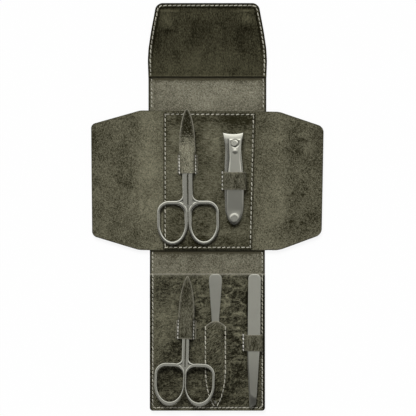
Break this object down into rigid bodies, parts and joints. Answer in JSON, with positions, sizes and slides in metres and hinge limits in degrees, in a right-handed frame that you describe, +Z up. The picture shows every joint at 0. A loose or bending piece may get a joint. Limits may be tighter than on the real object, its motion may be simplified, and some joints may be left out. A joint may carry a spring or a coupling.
{
  "type": "manicure set case",
  "caption": "Folding leather manicure case, open and flat, with scissors, clipper, file and tweezers in sewn loops and sheaths; it folds shut and closes with hidden magnets.",
  "frame": {"origin": "middle of the open case's outline, on the surface it lies on", "axes": "+Y along the strip towards the flap, +X towards the clipper's side, +Z up off the table"},
  "size_m": [0.1538, 0.269, 0.011],
  "materials": {
    "outer_hide": "smooth waxed grain, dark olive",
    "suede_lining": "light olive-grey suede",
    "wing_hide": "mottled nubuck, olive-grey",
    "grained_hide": "creased dark olive grain",
    "trim_hide": "thin soft hide, olive",
    "satin_steel": "satin stainless steel",
    "closure_metal": "nickel plated"
  },
  "bodies": {
    "back": {"back_leather": "outer_hide", "back_lining": "suede_lining", "wings_sheet": "wing_hide", "centre_tool_panel": "grained_hide", "upper_scissors_sheath": "trim_hide", "clipper_loop": "trim_hide", "top_spine_fold_leather": "outer_hide", "bottom_spine_fold_leather": "outer_hide", "left_gusset_crease": "wing_hide", "right_gusset_crease": "wing_hide"},
    "top_spine": {"top_spine_leather": "outer_hide", "top_spine_lining": "suede_lining", "flap_fold_leather": "outer_hide"},
    "flap": {"flap_leather": "outer_hide", "flap_facing": "grained_hide", "flap_magnets": "closure_metal"},
    "bottom_spine": {"bottom_spine_leather": "outer_hide", "bottom_spine_lining": "suede_lining", "front_fold_leather": "outer_hide"},
    "front": {"front_leather": "outer_hide", "front_lining": "suede_lining", "front_tool_panel": "grained_hide", "keeper_discs": "closure_metal", "lower_scissors_sheath": "trim_hide", "file_sheath": "trim_hide", "tweezers_loop": "trim_hide"},
    "left_gusset": {"left_gusset": "wing_hide", "left_wing_crease": "wing_hide"},
    "left_wing": {"left_wing": "wing_hide"},
    "right_gusset": {"right_gusset": "wing_hide", "right_wing_crease": "wing_hide"},
    "right_wing": {"right_wing": "wing_hide"},
    "upper_scissors": {"upper_scissors_fixed_half": "satin_steel", "upper_scissors_screw": "satin_steel"},
    "upper_scissors_left": {"upper_scissors_moving_half": "satin_steel"},
    "lower_scissors": {"lower_scissors_fixed_half": "satin_steel", "lower_scissors_screw": "satin_steel"},
    "lower_scissors_left": {"lower_scissors_moving_half": "satin_steel"},
    "clipper": {"clipper_lower_leaf": "satin_steel", "clipper_pin": "satin_steel", "clipper_tail_rivet": "satin_steel"},
    "clipper_jaw": {"clipper_upper_leaf": "satin_steel"},
    "clipper_lever": {"clipper_lever": "satin_steel"},
    "nail_file": {"nail_file": "satin_steel"},
    "tweezers": {"tweezers_lower_arm": "satin_steel"},
    "tweezers_arm": {"tweezers_upper_arm": "satin_steel"}
  },
  "joints": [
    {"name": "top_spine_fold", "type": "hinge", "parent": "back", "child": "top_spine", "pos_m": [0, 0.0649, 0.002], "axis": [1, 0, 0], "range_deg": [0, 90], "deforming": ["top_spine_fold_leather"]},
    {"name": "flap_fold", "type": "hinge", "parent": "top_spine", "child": "flap", "pos_m": [0, 0.0849, 0.002], "axis": [1, 0, 0], "range_deg": [0, 90.5], "deforming": ["flap_fold_leather"]},
    {"name": "bottom_spine_fold", "type": "hinge", "parent": "back", "child": "bottom_spine", "pos_m": [0, -0.0292, 0.002], "axis": [-1, 0, 0], "range_deg": [0, 90], "deforming": ["bottom_spine_fold_leather"]},
    {"name": "front_fold", "type": "hinge", "parent": "bottom_spine", "child": "front", "pos_m": [0, -0.0438, 0.002], "axis": [-1, 0, 0], "range_deg": [0, 88.3], "deforming": ["front_fold_leather"]},
    {"name": "left_gusset_fold", "type": "hinge", "parent": "back", "child": "left_gusset", "pos_m": [-0.038, 0, 0.0025], "axis": [0, 1, 0], "range_deg": [0, 90], "deforming": ["left_gusset_crease"]},
    {"name": "left_wing_fold", "type": "hinge", "parent": "left_gusset", "child": "left_wing", "pos_m": [-0.0446, 0, 0.0025], "axis": [0, 1, 0], "range_deg": [0, 90], "deforming": ["left_wing_crease"]},
    {"name": "right_gusset_fold", "type": "hinge", "parent": "back", "child": "right_gusset", "pos_m": [0.038, 0, 0.0025], "axis": [0, -1, 0], "range_deg": [0, 90], "deforming": ["right_gusset_crease"]},
    {"name": "right_wing_fold", "type": "hinge", "parent": "right_gusset", "child": "right_wing", "pos_m": [0.0474, 0, 0.0025], "axis": [0, -1, 0], "range_deg": [0, 90], "deforming": ["right_wing_crease"]},
    {"name": "upper_scissors_slide", "type": "slide", "parent": "back", "child": "upper_scissors", "axis": [-0.0105, 0.9999, 0], "range_m": [-0.017, 0]},
    {"name": "upper_scissors_open", "type": "hinge", "parent": "upper_scissors", "child": "upper_scissors_left", "pos_m": [-0.0131, 0.0283, 0.00425], "axis": [0, 0, 1], "range_deg": [-5.2, 0]},
    {"name": "clipper_slide", "type": "slide", "parent": "back", "child": "clipper", "axis": [0, -1, 0], "range_m": [-0.036, 0]},
    {"name": "clipper_squeeze", "type": "hinge", "parent": "clipper", "child": "clipper_jaw", "pos_m": [0.0175, -0.0023, 0.00535], "axis": [-1, 0, 0], "range_deg": [0, 1.1], "stiffness_Nm_per_rad": 0.4, "springref_deg": -2.86},
    {"name": "clipper_lever_swivel", "type": "hinge", "parent": "clipper_jaw", "child": "clipper_lever", "pos_m": [0.0175, 0.0417, 0.00425], "axis": [0, 0, 1], "range_deg": [-1.5, 1.5]},
    {"name": "lower_scissors_slide", "type": "slide", "parent": "front", "child": "lower_scissors", "axis": [0.0279, 0.9986, -0.0454], "range_m": [-0.042, 0]},
    {"name": "lower_scissors_open", "type": "hinge", "parent": "lower_scissors", "child": "lower_scissors_left", "pos_m": [-0.01405, -0.0806, 0.0048], "axis": [0.0013, 0.0453, 0.999], "range_deg": [-9, 0]},
    {"name": "nail_file_slide", "type": "slide", "parent": "front", "child": "nail_file", "axis": [0, -1, 0], "range_m": [-0.015, 0]},
    {"name": "tweezers_slide", "type": "slide", "parent": "front", "child": "tweezers", "axis": [0.0096, 1, 0], "range_m": [-0.051, 0]},
    {"name": "tweezers_squeeze", "type": "hinge", "parent": "tweezers", "child": "tweezers_arm", "pos_m": [0.03102, -0.0473, 0.00455], "axis": [1, -0.0096, 0], "range_deg": [0, 0.55], "stiffness_Nm_per_rad": 0.2, "springref_deg": -2.86}
  ]
}
